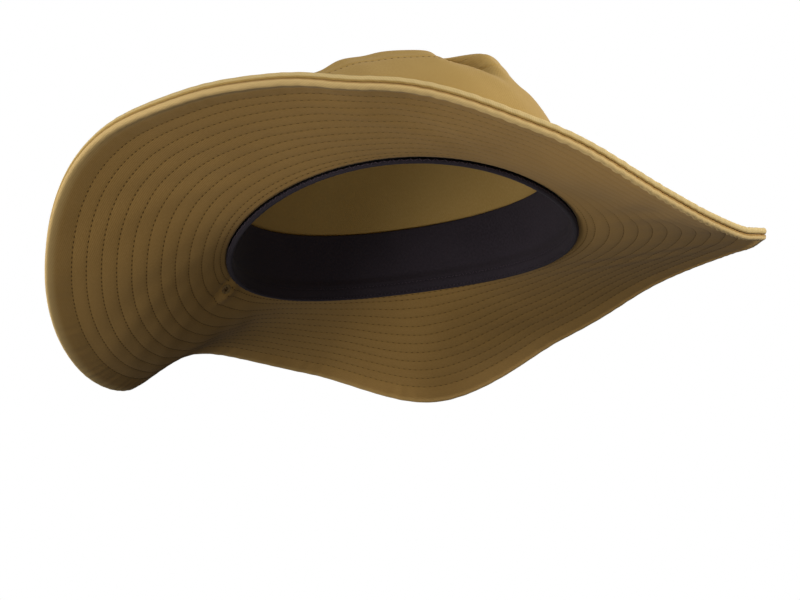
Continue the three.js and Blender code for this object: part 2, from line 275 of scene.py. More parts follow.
@dataclass(frozen=True)
class HatForm:
    """The middle surfaces of brim and crown, and the cloth's small unevenness on them.

    Ripples run askew: the brim's turn by brim_ripple_twist degrees from the opening to the edge, and
    the crown's by crown_ripple_twist from one section to the next. pole is how near to the tip's
    centre, in sections, the cloth counts as level.
    """

    opening_half_width: float = 84.0
    opening_half_length: float = 102.0
    opening_saddle: float = 5.0
    brim_width: float = 85.0
    crown_lift: float = 1.9
    lean_side: float = 0.05
    lean_back: float = 0.07
    brim_ripple: float = 0.45
    brim_ripple_twist: float = 40.0
    fine_ripple_share: float = 0.6
    crown_ripple: float = 0.5
    crown_ripple_twist: float = 6.0
    pole: float = 0.05
    eyelet_azimuth: float = -97.0
    eyelet_reach: float = 6.0
    eyelet_tip: float = 0.7
    eyelet_spread: float = 6.5
    eyelet_clearing: float = 3.7

    @property
    def eyelet_place(self) -> tuple[Array, Array]:
        """Azimuth and reach of the eyelet."""
        return np.array(self.eyelet_azimuth), np.array(self.eyelet_reach)

    def opening(self, azimuth: Array) -> tuple[Array, Array]:
        """Seam line of the head opening, and the level direction straight out from it."""
        sin, cos = np.sin(np.radians(azimuth)), np.cos(np.radians(azimuth))
        saddle = self.opening_saddle * np.cos(2 * np.radians(azimuth))
        point = np.stack([self.opening_half_width * sin, -self.opening_half_length * cos, saddle], -1)
        out = np.stack([sin / self.opening_half_width, -cos / self.opening_half_length, 0 * sin], -1)
        return point, out / np.linalg.norm(out, axis=-1, keepdims=True)

    def slope(self, azimuth: Array, column: str) -> Array:
        """Slope of the brim in radians, from one column of the slopes' table."""
        values = np.array([getattr(row, column) for row in BRIM_SLOPES], float)
        place = ((np.asarray(azimuth, float) + 540) % 360) / (360 / len(values))
        row = np.floor(place).astype(int)
        steps = [values[(row + step) % len(values)] for step in (-1, 0, 1, 2)]
        return np.radians(blend(*steps, place - row))

    def brim_middle(self, azimuth: Array, reach: Array) -> Array:
        """Middle surface of the brim, tipped to face the front where the eyelet's setting puckers it."""
        point = self.brim_arc(azimuth, reach)
        away = point - self.brim_arc(*self.eyelet_place)
        near = np.exp(-(away**2).sum(-1) / self.eyelet_spread**2)
        return point - UP * (self.eyelet_tip * away[..., 1] * near)[..., None]

    def brim_arc(self, azimuth: Array, reach: Array) -> Array:
        """Brim without the pucker: each radial line is an arc from the inner to the outer slope."""
        point, out = self.opening(azimuth)
        inner, outer = self.slope(azimuth, "inner"), self.slope(azimuth, "outer")
        half_turn = (outer - inner) * reach / self.brim_width / 2
        chord = reach * np.sinc(half_turn / math.pi)
        heading = inner + half_turn
        rise = chord * np.sin(heading) - self.edge_dip(azimuth) * (reach / self.brim_width) ** 2
        return point + out * (chord * np.cos(heading))[..., None] + UP * rise[..., None]

    def edge_dip(self, azimuth: Array) -> Array:
        """How far the edge hangs below its arc at an azimuth."""
        dips = 0 * np.asarray(azimuth, float)
        for dip in EDGE_DIPS:
            away = (azimuth - dip.azimuth + 540) % 360 - 180
            dips = dips + dip.drop * bell(away, dip.spread)
        return dips

    def brim_unevenness(self, azimuth: Array, reach: Array) -> Array:
        """Shallow ripples of the brim, common to both plies, stronger towards the edge."""
        far = reach / self.brim_width
        broad = waves(azimuth, (9, 13, 17, 22), seed=3) * smooth_step(far, 0.1, 1)
        askew = azimuth + self.brim_ripple_twist * far
        fine = waves(askew, (21, 27, 34), seed=8) * np.sin(math.pi * np.clip(far, 0, 1))
        return self.brim_ripple * (broad + self.fine_ripple_share * fine)

    def brim(self, azimuth: Array, reach: Array, lift: Array) -> Array:
        """Brim points at a lift above the middle surface, ripples included."""
        raised = np.asarray(lift) + self.brim_unevenness(azimuth, reach)
        return offset_from(self.brim_middle, azimuth, reach, -raised)

    def oval(self, place: Array, column: str) -> Array:
        """Rise, half width or half length of the crown at a fractional section."""
        values = [getattr(row, column) for row in CROWN_OVALS]
        below = values[0] - CROWN_OVALS[1].rise if column == "rise" else values[0]
        beyond = values[-2] if column == "rise" else -values[-2]
        values = np.array([below, *values, beyond], float)
        row = np.clip(np.floor(place).astype(int), 0, TIP_CENTRE - 1)
        return blend(values[row], values[row + 1], values[row + 2], values[row + 3], place - row)

    def place_at_rise(self, rise: Array) -> Array:
        """Fractional section of the crown's wall that lies at a rise; it runs on below the base."""
        places = np.linspace(-1, TOP_SEAM, 2001)
        return np.interp(rise, self.oval(places, "rise"), places)

    def crown_smooth(self, azimuth: Array, place: Array) -> Array:
        """Crown before it was dented: ovals that follow the opening's saddle and lean at the top."""
        place = np.asarray(place, float)
        rise = self.oval(place, "rise")
        x = self.oval(place, "half_width") * np.sin(np.radians(azimuth))
        y = -self.oval(place, "half_length") * np.cos(np.radians(azimuth))
        share = np.clip(rise / CROWN_OVALS[TOP_SEAM].rise, 0, 1)
        saddle = self.opening_saddle * np.cos(2 * np.radians(azimuth)) * (1 - share)
        lean = (self.lean_side * x + self.lean_back * y) * share
        return np.stack([x, y, self.crown_lift + rise + saddle + lean], -1)

    def crown_middle(self, azimuth: Array, place: Array) -> Array:
        """Middle surface of the crown with its dents."""
        point = self.crown_smooth(azimuth, place)
        push = np.zeros_like(point)
        for dent in CROWN_DENTS:
            away = point - self.crown_smooth(np.array(dent.azimuth), np.array(dent.section))
            _, out = self.opening(np.array(dent.azimuth))
            across = away @ np.array([-out[1], out[0], 0.0])
            spread = np.where(across < 0, dent.before, dent.after)
            beyond = (away**2).sum(-1) - across**2
            near = np.exp(-((across / spread) ** 2) - beyond / dent.height**2)
            push -= (UP * dent.drop + out * dent.inward) * near[..., None]
        return point + push

    def crown_unevenness(self, azimuth: Array, place: Array) -> Array:
        """Soft ripples of the crown's wall, gone at its base and at the tip's centre."""
        wall = smooth_step(place, 0.2, 2.5) * smooth_step(place, TIP_CENTRE, 6)
        askew = azimuth + self.crown_ripple_twist * place
        return self.crown_ripple * waves(askew, (7, 11, 16, 23), seed=5) * wall

    def crown(self, azimuth: Array, place: Array, lift: Array) -> Array:
        """Crown points at a lift out of the middle surface, ripples included."""
        place = np.asarray(place, float)
        raised = np.asarray(lift) + self.crown_unevenness(azimuth, place)
        points = offset_from(self.crown_middle, azimuth, np.minimum(place, TIP_CENTRE - self.pole), raised)
        centre = self.crown_middle(azimuth, place) + UP * raised[..., None]
        return np.where((place > TIP_CENTRE - self.pole)[..., None], centre, points)


# ---- meshes ----


def deselect() -> None:
    """Leaves nothing selected, so that an operator acts on new pieces only."""
    bpy.ops.object.select_all(action="DESELECT")


def pick(piece: bpy.types.Object) -> None:
    """Selects one piece alone and makes it the active one."""
    deselect()
    piece.select_set(True)
    bpy.context.view_layer.objects.active = piece


def named(name: str) -> bpy.types.Object:
    """Gives the newest object its piece's name."""
    piece = bpy.context.active_object
    piece.name = piece.data.name = name
    return piece


def flat_grid(name: str, columns: int, rows: int) -> bpy.types.Object:
    """A sheet of faces that is still flat: columns run round the piece, rows along its outline."""
    deselect()
    bpy.ops.mesh.primitive_grid_add(x_subdivisions=columns, y_subdivisions=rows, size=2)
    return named(name)


def grid_places(mesh: bpy.types.Mesh, rows: int) -> tuple[Array, Array]:
    """Where the vertices of a flat grid go.

    Args:
        mesh: the grid's mesh.
        rows: its rows of faces.

    Returns:
        Degrees round the piece, from -180 to 180, and the point of the outline, for each vertex. The
        outline closes on itself, so its last number stands for its first point again.
    """
    flat = np.empty(len(mesh.vertices) * 3)
    mesh.vertices.foreach_get("co", flat)
    return 180 * flat[::3], np.rint((flat[1::3] + 1) / 2 * rows).astype(int)


def in_edit_mode(*steps: Callable[[], object]) -> None:
    """Runs operators in edit mode with the whole mesh selected."""
    bpy.ops.object.mode_set(mode="EDIT")
    bpy.ops.mesh.select_all(action="SELECT")
    for step in steps:
        step()
    bpy.ops.object.mode_set(mode="OBJECT")


def face_outwards(piece: bpy.types.Object) -> None:
    """Turns the faces of a closed piece outwards, and turns them again if its volume is negative."""
    in_edit_mode(lambda: bpy.ops.mesh.normals_make_consistent(inside=False))
    closed = bmesh.new()
    closed.from_mesh(piece.data)
    if closed.calc_volume(signed=True) < 0:
        piece.data.flip_normals()
    closed.free()


def close_up(piece: bpy.types.Object, points: Array) -> None:
    """Moves a grid's vertices to points in metres and joins its sides where they meet."""
    piece.data.vertices.foreach_set("co", points.ravel())
    in_edit_mode(lambda: bpy.ops.mesh.remove_doubles(threshold=0.00001))
    face_outwards(piece)
    bpy.ops.object.shade_smooth()


@dataclass(frozen=True)
class ClothSection:
    """Outline of a sewn tube of cloth, walked once round and back to its start.

    along is the reach or the place of each point, lift its distance out of the middle surface, and run
    the length of cloth from the point on to the outline's end. furrow is 1 where the cloth is painted
    darker, as painted shade in stitched furrows and in gaps, and the pale mark is 1 where the edge is
    painted pale, partly as wear and partly as painted light. Faces between the points that fine picks
    out are halved around the hat, for the small folds there.
    """

    along: Array
    lift: Array
    run: Array
    furrow: Array
    rub: Array
    fine: Array

    @classmethod
    def through(
        cls, along: Array, lift: Array, run: Array | None = None, furrow: Array | float = 0, **marks: Array
    ) -> "ClothSection":
        """Section through some points.

        Args:
            along: reach or place of each point.
            lift: distance of each point out of the middle surface.
            run: length of cloth walked at each point; where along is a reach, it is worked out.
            furrow: 1 where the cloth is painted darker, as painted shade in furrows and gaps.
            marks: the pale edge's mark, painted partly as wear and partly as painted light, and fine,
            where the cloth has them.

        Returns:
            The section.
        """
        if run is None:
            run = np.concatenate([[0], np.cumsum(np.hypot(np.diff(along), np.diff(lift)))])
        none = 0 * along
        return cls(
            along, lift, run[-1] - run, none + furrow, none + marks.get("rub", 0), none + marks.get("fine", 0)
        )


def ring_pattern(inner: float) -> Callable[[Array, Array], Array]:
    """Cloth cut as a flat ring or disc, so that its weave runs straight across the whole of it.

    Args:
        inner: radius at which the cloth's open face ends, in millimetres.

    Returns:
        A function from azimuth and length of cloth to places on the flat cloth.
    """

    def place(azimuth: Array, run: Array) -> Array:
        """Places on the flat cloth."""
        turn = np.radians(azimuth)
        return np.stack([(inner + run) * np.sin(turn), -(inner + run) * np.cos(turn)], -1)

    return place


def strip_pattern(girth: float) -> Callable[[Array, Array], Array]:
    """Cloth cut as a straight strip, girth millimetres long and joined at the back."""

    def place(azimuth: Array, run: Array) -> Array:
        """Places on the flat cloth."""
        return np.stack([azimuth / 360 * girth, run], -1)

    return place


def halve_columns(piece: bpy.types.Object, lines: Array) -> None:
    """Halves the faces around the hat that lie along some lines of a flat grid.

    Args:
        piece: a grid that is still flat.
        lines: for each line of the grid, whether its faces are halved.
    """
    mesh = piece.data
    _, line = grid_places(mesh, len(lines))
    ends = np.empty(len(mesh.edges) * 2, int)
    mesh.edges.foreach_get("vertices", ends)
    first, second = line[ends[::2]], line[ends[1::2]]
    picked = (first == second) & (lines[first % len(lines)] > 0)
    bpy.context.tool_settings.mesh_select_mode = (False, True, False)
    bpy.ops.object.mode_set(mode="EDIT")
    bpy.ops.mesh.select_all(action="DESELECT")
    bpy.ops.object.mode_set(mode="OBJECT")
    mesh.edges.foreach_set("select", picked)
    bpy.ops.object.mode_set(mode="EDIT")
    bpy.ops.mesh.subdivide(number_cuts=1, ngon=False)
    bpy.ops.object.mode_set(mode="OBJECT")
    bpy.context.tool_settings.mesh_select_mode = (True, False, False)


def cloth_piece(
    name: str,
    columns: int,
    section: ClothSection,
    shape: Callable[[Array, Array, Array], Array],
    pattern: Callable[[Array, Array], Array],
    worn: Callable[[Array, Array], Array] = lambda azimuth, rub: rub,
) -> bpy.types.Object:
    """A sheet rolled round a section, bent round the hat and sewn up where its edges meet.

    Args:
        name: the piece's name.
        columns: faces around the hat.
        section: outline of the cloth.
        shape: points from azimuth, along and lift.
        pattern: places on the flat cloth from azimuth and length of cloth, for the weave.
        worn: how pale each point is painted, partly as wear and partly as painted light, from its
        azimuth and the section's pale mark.

    Returns:
        The closed piece, with its flat pattern in metres in the UV map.
    """
    rows = len(section.along)
    piece = flat_grid(name, columns, rows)
    mesh = piece.data
    if section.fine.any():
        halve_columns(piece, section.fine)
    azimuth, index = grid_places(mesh, rows)
    corners = np.empty(len(mesh.loops), int)
    mesh.loops.foreach_get("vertex_index", corners)
    runs = np.append(section.run, section.run[-1])
    weave = pattern(azimuth[corners], runs[index[corners]]) * MM
    mesh.uv_layers[0].data.foreach_set("uv", weave.ravel())
    mesh.uv_layers[0].name = "weave"
    index %= rows
    marks = {"furrow": section.furrow[index], "rub": worn(azimuth, section.rub[index])}
    for mark, values in marks.items():
        mesh.attributes.new(mark, "FLOAT", "POINT").data.foreach_set("value", values)
    close_up(piece, shape(azimuth, section.along[index], section.lift[index]) * MM)
    return piece


@dataclass(frozen=True)
class Stitch:
    """One visible stitch of sewing thread, in millimetres, and how many faces it gets around.

    slant turns every other stitch to either side, in degrees, as in a zigzag row, and wander is how
    unevenly they turn.
    """

    length: float = 1.5
    width: float = 0.55
    height: float = 0.4
    period: float = 2.7
    slant: float = 0.0
    wander: float = 3.0
    sides: int = 6

    def template(self) -> tuple[Array, list[tuple[int, ...]]]:
        """One bead of thread, long along X and half sunk in the cloth.

        Returns:
            Its vertices in millimetres and its faces.
        """
        deselect()
        bpy.ops.mesh.primitive_uv_sphere_add(segments=self.sides, ring_count=3, radius=0.5)
        bead = bpy.context.active_object
        size = (self.height, self.width, self.length)
        in_edit_mode(
            lambda: bpy.ops.transform.resize(value=size),
            lambda: bpy.ops.transform.rotate(value=math.pi / 2, orient_axis="Y", center_override=(0, 0, 0)),
        )
        points = np.array([vertex.co for vertex in bead.data.vertices])
        faces = [tuple(face.vertices) for face in bead.data.polygons]
        bpy.data.objects.remove(bead)
        return points, faces


def walked(line: Array) -> Array:
    """Distance walked along a line at each of its points."""
    return np.concatenate([[0], np.cumsum(np.linalg.norm(np.diff(line, axis=0), axis=1))])


def picked_at(stops: Array, along: Array, values: Array) -> Array:
    """Values in space at some stops along a line."""
    return np.stack([np.interp(stops, along, values[:, axis]) for axis in range(3)], -1)


def unit(vectors: Array) -> Array:
    """Vectors of length 1."""
    return vectors / np.linalg.norm(vectors, axis=-1, keepdims=True)


def sew(
    name: str,
    rows: Sequence[Callable[[Array, Array], Array]],
    stitch: Stitch,
    count: int | None = None,
    clearing: tuple[Array, float] | None = None,
) -> bpy.types.Object:
    """Rows of stitches round the hat, joined as one piece.

    Args:
        name: the piece's name.
        rows: each gives the points of a row from azimuth and lift above its cloth.
        stitch: size and spacing of the stitches.
        count: stitches in a row at even azimuths, where the stitch's period doesn't set it.
        clearing: middle and radius of a round place without stitches.

    Returns:
        The joined stitches.
    """
    bead, bead_faces = stitch.template()
    azimuth = np.linspace(-180, 180, 2881)
    hand = np.random.default_rng(12)
    points, faces, used = [], [], 0
    for row in rows:
        line, raised = row(azimuth, 0 * azimuth), row(azimuth, 0 * azimuth + 1)
        along = walked(line)
        number = count or 2 * round(along[-1] / stitch.period / 2)
        shares = (np.arange(number) + 0.5) / number
        stops = np.interp(360 * shares - 180, azimuth, along) if count else shares * along[-1]
        tangent = unit(picked_at(stops + 0.3, along, line) - picked_at(stops - 0.3, along, line))
        side = unit(np.cross(picked_at(stops, along, raised - line), tangent))
        slant = stitch.slant * (-1) ** np.arange(number) + hand.normal(0, stitch.wander, number)
        cos, sin = np.cos(np.radians(slant))[:, None], np.sin(np.radians(slant))[:, None]
        thread, across = tangent * cos + side * sin, side * cos - tangent * sin
        axes = np.stack([thread, across, np.cross(thread, across)], 1)
        centre = picked_at(stops, along, line)
        beads = centre[:, None] + np.einsum("va,nac->nvc", bead, axes)
        if clearing:
            beads = beads[np.linalg.norm(centre - clearing[0], axis=1) > clearing[1]]
        points.append(beads.reshape(-1, 3))
        for copy in range(len(beads)):
            first = used + copy * len(bead)
            faces.extend(tuple(first + corner for corner in face) for face in bead_faces)
        used += len(beads) * len(bead)
    mesh = bpy.data.meshes.new(name)
    mesh.from_pydata((np.concatenate(points) * MM).tolist(), [], faces)
    piece = bpy.data.objects.new(name, mesh)
    bpy.context.collection.objects.link(piece)
    pick(piece)
    face_outwards(piece)
    bpy.ops.object.shade_smooth()
    return piece


# ---- finishes ----


def colour(code: str) -> tuple[float, float, float, float]:
    """Linear colour of an sRGB hex code such as #af9259."""
    parts = [int(code[start : start + 2], 16) / 255 for start in (1, 3, 5)]
    linear = [part / 12.92 if part <= 0.04045 else ((part + 0.055) / 1.055) ** 2.4 for part in parts]
    return (*linear, 1.0)


def add_node(
    tree: bpy.types.NodeTree, kind: str, inputs: dict | None = None, **settings: object
) -> bpy.types.Node:
    """Adds one node to a tree.

    Args:
        tree: the material's or the world's node tree.
        kind: the node's type, such as ShaderNodeBump.
        inputs: a value, or the socket to link, for each input by name or number.
        settings: the node's own attributes.

    Returns:
        The new node.
    """
    node = tree.nodes.new(kind)
    for name, value in settings.items():
        setattr(node, name, value)
    for key, value in (inputs or {}).items():
        if isinstance(value, bpy.types.NodeSocket):
            tree.links.new(value, node.inputs[key])
        else:
            node.inputs[key].default_value = value
    return node


@dataclass(frozen=True)
class Finish:
    """A finish with one surface shader, whose sockets each kind of finish fills in its own way."""

    name: str

    def sockets(self, tree: bpy.types.NodeTree) -> dict:
        """Values and links for the surface shader, from nodes that it adds to the tree."""
        raise NotImplementedError

    def material(self) -> bpy.types.Material:
        """Builds the finish's material."""
        material = bpy.data.materials.new(self.name)
        material.use_nodes = True
        tree = material.node_tree
        tree.nodes.clear()
        surface = add_node(tree, "ShaderNodeBsdfPrincipled", self.sockets(tree))
        add_node(tree, "ShaderNodeOutputMaterial", {"Surface": surface.outputs["BSDF"]})
        return material


@dataclass(frozen=True)
class CottonTwill(Finish):
    """Piece-dyed cotton twill: matt, a little hairy, with fine diagonal ribs that catch the light.

    The real ribs are about 0.5 mm apart. They are drawn at rib_mm, coarse enough to show at all. The
    cloth is painted darker where stitches draw it in and in gaps, as painted shade, and paler towards
    the brim's edge, partly as wear and partly as painted light.
    """

    light: str
    deep: str
    # Colour of the painted shade in furrows and gaps.
    painted_furrow_shade: str
    # Colour of the pale edge: partly wear, partly painted light on the roll.
    rubbed: str
    rib_mm: float = 0.85
    rib_depth_mm: float = 0.04
    roughness: float = 0.92
    sheen: float = 0.06

    def sockets(self, tree: bpy.types.NodeTree) -> dict:
        """Uneven dye, ribs and slubs of the weave, furrows and rubbed places."""
        place = add_node(tree, "ShaderNodeTexCoord").outputs["Object"]
        weave = add_node(tree, "ShaderNodeUVMap", uv_map="weave").outputs["UV"]
        # Diagonal bands repeat every 0.444 / scale of the UV's metres, measured straight across them.
        banded = {"Vector": weave, "Scale": 0.444 / (self.rib_mm * MM), "Distortion": 0.6, "Detail": 1.0}
        ribs = add_node(tree, "ShaderNodeTexWave", banded, bands_direction="DIAGONAL").outputs["Fac"]
        uneven = {"Vector": weave, "Scale": 900.0, "Detail": 2.0}
        slubs = add_node(tree, "ShaderNodeTexNoise", uneven).outputs["Fac"]
        cloudy = {"Vector": place, "Scale": 22.0, "Detail": 3.0}
        clouds = add_node(tree, "ShaderNodeTexNoise", cloudy).outputs["Fac"]
        tone = add_node(tree, "ShaderNodeMath", {0: clouds, 1: slubs}, operation="ADD").outputs[0]
        spread = {"Value": tone, "From Min": 0.65, "From Max": 1.35}
        shade = add_node(tree, "ShaderNodeMapRange", spread).outputs["Result"]
        dyes = {0: shade, 6: colour(self.light), 7: colour(self.deep)}
        tint = add_node(tree, "ShaderNodeMix", dyes, data_type="RGBA").outputs[2]
        # Painted marks: the pale edge, partly wear and partly painted light, and painted shade in furrows and
        # gaps.
        for mark, marked in (("rub", self.rubbed), ("furrow", self.painted_furrow_shade)):
            amount = add_node(tree, "ShaderNodeAttribute", attribute_name=mark).outputs["Fac"]
            dyes = {0: amount, 6: tint, 7: colour(marked)}
            tint = add_node(tree, "ShaderNodeMix", dyes, data_type="RGBA").outputs[2]
        shaded = {"Value": ribs, "To Min": 0.95, "To Max": 1.02}
        ridges = add_node(tree, "ShaderNodeMapRange", shaded).outputs["Result"]
        dyes = {0: 1.0, 6: tint, 7: ridges}
        woven = add_node(tree, "ShaderNodeMix", dyes, data_type="RGBA", blend_type="MULTIPLY").outputs[2]
        relief = add_node(tree, "ShaderNodeMath", {0: ribs, 1: slubs}, operation="ADD").outputs[0]
        raised = {"Height": relief, "Distance": self.rib_depth_mm * MM, "Strength": 1.0}
        return {
            "Base Color": woven,
            "Normal": add_node(tree, "ShaderNodeBump", raised).outputs["Normal"],
            "Roughness": self.roughness,
            "Sheen Weight": self.sheen,
            "Sheen Roughness": 0.5,
            "Specular IOR Level": 0.15,
        }


@dataclass(frozen=True)
class SewingThread(Finish):
    """Spun polyester sewing thread: a dull twisted cord that is darker than the cloth it sits in."""

    tint: str
    roughness: float = 0.8

    def sockets(self, tree: bpy.types.NodeTree) -> dict:
        """Fibres that are here and there darker."""
        place = add_node(tree, "ShaderNodeTexCoord").outputs["Object"]
        fibres = add_node(tree, "ShaderNodeTexNoise", {"Vector": place, "Scale": 1500.0}).outputs["Fac"]
        tint = colour(self.tint)
        dyes = {0: fibres, 6: tint, 7: tuple(0.7 * part for part in tint[:3]) + (1.0,)}
        shade = add_node(tree, "ShaderNodeMix", dyes, data_type="RGBA").outputs[2]
        return {"Base Color": shade, "Roughness": self.roughness, "Specular IOR Level": 0.2}


@dataclass(frozen=True)
class AntiqueBrass(Finish):
    """Dark-lacquered brass of a pressed eyelet, its lacquer rubbed through in patches."""

    dark: str
    rubbed: str
    roughness: float = 0.6

    def sockets(self, tree: bpy.types.NodeTree) -> dict:
        """Lacquer that is rubbed through in patches."""
        place = add_node(tree, "ShaderNodeTexCoord").outputs["Object"]
        patchy = {"Vector": place, "Scale": 700.0, "Detail": 3.0}
        worn = add_node(tree, "ShaderNodeTexNoise", patchy).outputs["Fac"]
        spread = {"Value": worn, "From Min": 0.4, "From Max": 0.65}
        patch = add_node(tree, "ShaderNodeMapRange", spread).outputs["Result"]
        dyes = {0: patch, 6: colour(self.dark), 7: colour(self.rubbed)}
        tint = add_node(tree, "ShaderNodeMix", dyes, data_type="RGBA").outputs[2]
        return {"Base Color": tint, "Metallic": 0.3, "Roughness": self.roughness}


@dataclass(frozen=True)
class FloorPaint(Finish):
    """Matt white floor paint, a little grey."""

    tint: str = "#dcdbd8"

    def sockets(self, tree: bpy.types.NodeTree) -> dict:
        """One even colour."""
        return {"Base Color": colour(self.tint), "Roughness": 0.9}


@dataclass(frozen=True)
class Wardrobe:
    """Every finish on the hat."""

    # On the twills the furrow colours are painted shade, and the rubbed colours are partly wear and partly
    # painted light.
    outer: CottonTwill = CottonTwill(
        "khaki_cotton_twill", light="#c19f5d", deep="#b59251", painted_furrow_shade="#b49150", rubbed="#e2c587"
    )
    # The underside is the same twill painted darker and redder, as painted shade.
    under: CottonTwill = CottonTwill(
        "khaki_cotton_twill_painted_shade_underside", light="#b99153", deep="#ab8448", painted_furrow_shade="#a98245", rubbed="#e4c282"
    )
    band: CottonTwill = CottonTwill(
        "charcoal_cotton_tape",
        light="#3f383f",
        deep="#302a30",
        # Near black: painted shadow in the gap under the brim, and painted shade on the stitched rows.
        painted_furrow_shade="#0e0c0e",
        rubbed="#4a424a",
        rib_mm=0.9,
        sheen=0.05,
    )
    thread: SewingThread = SewingThread("dark_khaki_sewing_thread", "#6a5129")
    band_thread: SewingThread = SewingThread("plum_grey_sewing_thread", "#5d505a")
    brass: AntiqueBrass = AntiqueBrass("antique_brass", dark="#7d6138", rubbed="#a88b58")


def finish_piece(piece: bpy.types.Object, material: bpy.types.Material, slot: str, *nodes: str) -> None:
    """Dresses a piece, seats it on the hat and hides the frame's nodes that it replaces.

    Args:
        piece: the finished mesh.
        material: its finish.
        slot: the record's material slot of that finish; it is not used.
        nodes: the frame's nodes that the piece replaces.
    """
    piece.data.materials.clear()
    piece.data.materials.append(material)
    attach(piece, BODY)
    if nodes:
        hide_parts(*nodes)
    log.info("%s: %d faces", piece.name, len(piece.data.polygons))


# ---- the hat's parts ----


def hold_at(azimuth: Array, column: str) -> Array:
    """Value of one column of the roll's table at an azimuth."""
    around = [row.azimuth for row in ROLL_HOLDS]
    return np.interp(azimuth, around, [getattr(row, column) for row in ROLL_HOLDS], period=360)


@dataclass(frozen=True)
class BrimPly:
    """One ply of the brim: quilted between its stitched rows and swelling to a soft roll at the edge.

    The roll is stitched down too: each stitch of its row pulls in one scallop, slanted like a rope's.
    Lengths are in millimetres. drift_reaches and gather_reaches are where the rows' drift starts, is
    greatest and ends, and where the edge's gathers start to die away and end. The pale strip's fade
    start and end are the shares of the edge by which a firm roll draws in that fade from either end;
    the strip is painted pale partly as wear and partly as painted light on the roll's shaded flank.
    bite_before is how far before the roll's stitches their bite starts and is full, and bite_after how
    far behind them it starts to fade and how far before the edge's turn it ends. rope_span is where the
    scallops start and end, with 0 at the roll's stitches and 1 where the roll turns over the edge.
    """

    face: Face
    form: HatForm = HatForm()
    thickness: float = 1.3
    seam_gap: float = 0.3
    inner_edge: float = -0.8
    roll: float = 2.7
    roll_start: float = 82.7
    corner: float = 0.3
    nose_gap: float = 0.1
    fade: float = 3.2
    row_pitch: float = 6.65
    rows: int = 11
    seam_row: float = 3.0
    puff: float = 0.1
    puff_fullness: float = 0.7
    puff_start: float = 2.0
    margin_rise: float = 3.0
    margin_crest: float = 77.0
    furrow: float = 0.05
    furrow_width: float = 0.42
    swell_start: float = 71.0
    row_drift: float = 1.6
    drift_reaches: tuple[float, float, float] = (10.0, 66.0, 82.0)
    drift_spread: float = 60.0
    gather: float = 0.14
    gather_inside: float = 0.25
    gather_reaches: tuple[float, float] = (80.0, 90.0)
    scallops: int = 204
    scallop_depth: float = 0.28
    scallop_bite: float = 0.3
    bite_before: tuple[float, float] = (1.6, 0.4)
    bite_after: tuple[float, float] = (1.0, 0.2)
    rope_span: tuple[float, float] = (-0.2, 1.4)
    upper_scallop_share: float = 0.5
    folded_depth: float = 0.8
    wear_and_painted_light_start: float = 0.58
    wear_and_painted_light_end: float = 0.37
    fine_before_roll: float = 1.7
    columns: int = 816

    @property
    def name(self) -> str:
        """The ply's name, as in the frame."""
        return "brim_upper" if self.face is Face.UPPER else "brim_under"

    @property
    def last_row(self) -> float:
        """Reach of the outermost row but the roll's."""
        return self.row_pitch * self.rows

    @property
    def nose_start(self) -> float:
        """Reach at which the roll turns over the edge."""
        return self.form.brim_width - self.roll / 2

    @property
    def row_reaches(self) -> list[float]:
        """Reach of each row of stitches but the roll's."""
        return [self.seam_row, *(self.row_pitch * np.arange(1, self.rows + 1))]

    def furrow_at(self, reach: Array) -> Array:
        """How far the cloth is drawn in at a reach, from 0 between the rows to 1 on a row."""
        return bell(from_nearest(reach, self.row_reaches), self.furrow_width)

    def surface_lift(self, reach: Array) -> Array:
        """Height of the ply's open face above the middle of the brim."""
        inside = np.abs(np.sin(math.pi * reach / self.row_pitch)) ** self.puff_fullness
        margin = smooth_step(reach, self.last_row, self.last_row + self.margin_rise)
        margin *= smooth_step(reach, self.roll_start, self.margin_crest)
        puffed = self.puff * np.where(reach < self.last_row, inside, margin)
        puffed *= smooth_step(reach, 0, self.puff_start)
        flat = self.seam_gap / 2 + self.thickness - self.furrow * self.furrow_at(reach)
        return flat + puffed + self.bead(reach)

    def bead(self, reach: Array) -> Array:
        """Height of the roll above the flat cloth where it is held down firmly."""
        share = np.clip((reach - self.roll_start) / (self.nose_start - self.roll_start), 0, 1)
        return (self.roll - self.thickness) * np.sqrt(1 - (1 - share) ** 2)

    def loosened(self, azimuth: Array, reach: Array) -> Array:
        """How far the cloth rises above a firm bead's outline where the edge only swells."""
        swell = (self.roll - self.thickness) * smooth_step(reach, self.swell_start, self.nose_start)
        return (1 - hold_at(azimuth, "firmness")) * (swell - self.bead(reach))

    def drifted(self, azimuth: Array, reach: Array) -> Array:
        """Reach of the cloth once rows have drifted at the front and stitches bite into the roll."""
        start, crest, end = self.drift_reaches
        window = smooth_step(reach, start, crest) * smooth_step(reach, end, crest)
        started, full = self.bite_before
        fading, ended = self.bite_after
        bitten = smooth_step(reach, self.roll_start - started, self.roll_start - full)
        bitten *= smooth_step(reach, self.nose_start - ended, self.roll_start + fading)
        drift = self.row_drift * window * bell(azimuth, self.drift_spread)
        return reach + drift + self.scallop_bite * bitten * self.scallop_at(azimuth, 0)

    def scallop_at(self, azimuth: Array, along_roll: Array) -> Array:
        """1 on the crest of a scallop and -1 at the stitch beside it, less where they are shallow."""
        turn = 2 * math.pi * (self.scallops * (azimuth + 180) / 360 + 0.5 * along_roll)
        return hold_at(azimuth, "scallop") * np.cos(turn)

